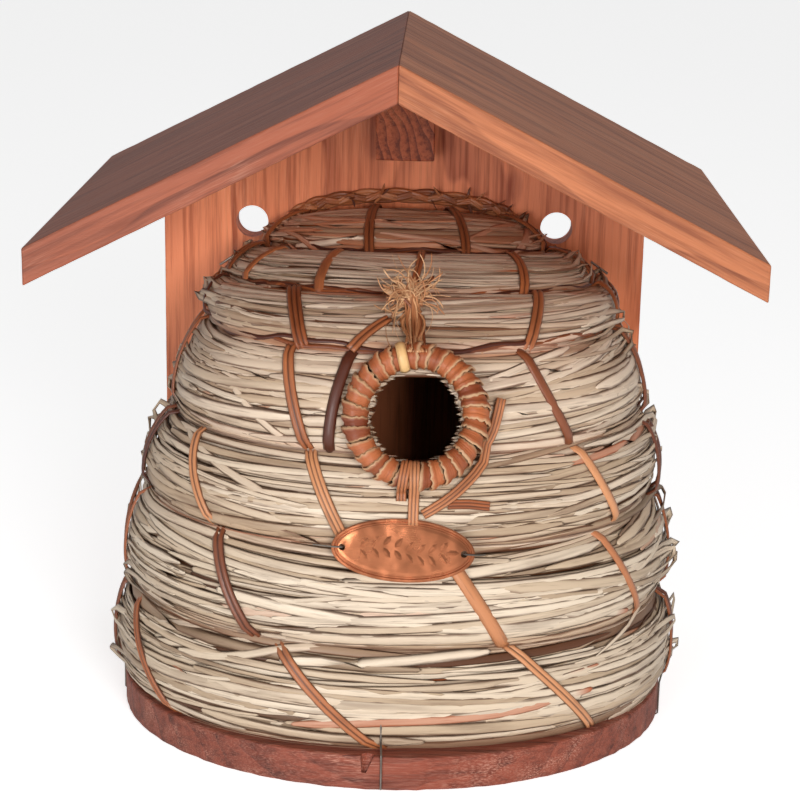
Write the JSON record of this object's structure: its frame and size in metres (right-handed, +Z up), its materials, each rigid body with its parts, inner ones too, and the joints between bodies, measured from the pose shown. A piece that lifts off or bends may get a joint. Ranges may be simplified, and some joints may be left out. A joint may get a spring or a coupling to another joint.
{
  "type": "wall-hung bird nest box",
  "caption": "Half-skep nest box of stitched straw rolls on a gabled wooden back, with a pitched board roof, round wrapped entrance and D-shaped base.",
  "frame": {"origin": "middle of the underside of the overall box, half way between the roof's front edge and the wall face, at the underside of the base", "axes": "+X across the box to the viewer's right, +Y into the wall, +Z up"},
  "size_m": [0.26, 0.2, 0.2775],
  "materials": {
    "backboard": "stained, satin",
    "roof_boards": "stained, satin",
    "base": "stained, rough sawn",
    "straw": "natural straw",
    "cane": "glossy split cane",
    "wrap": "split cane wrapping",
    "raffia": "dry raffia",
    "copper": "brushed and embossed copper",
    "wire": "thin steel wire",
    "steel": "zinc plated"
  },
  "bodies": {
    "root": {"backboard": "backboard", "roof_left": "roof_boards", "roof_right": "roof_boards", "ridge_block": "backboard", "base_board": "base", "straw_row_1": "straw", "straw_row_2": "straw", "straw_row_3": "straw", "straw_row_4": "straw", "straw_row_5": "straw", "straw_row_6": "straw", "straw_row_7": "straw", "entrance_core": "cane", "entrance_wrap": "wrap", "ring_ties": "cane", "raffia_knot": "raffia", "row_stitches_1": "cane", "row_stitches_2": "cane", "row_stitches_3": "cane", "row_stitches_4": "cane", "row_stitches_5": "cane", "row_stitches_6": "cane", "row_stitches_7": "cane", "edge_binding_left": "cane", "edge_binding_right": "cane", "top_binding": "cane", "name_plaque": "copper", "plaque_wire_left": "wire", "plaque_wire_right": "wire", "tie_wire_left": "wire", "tie_wire_centre": "wire", "tie_wire_right": "wire", "edge_staples": "steel", "roof_nails": "steel", "base_screws": "steel"}
  },
  "joints": []
}
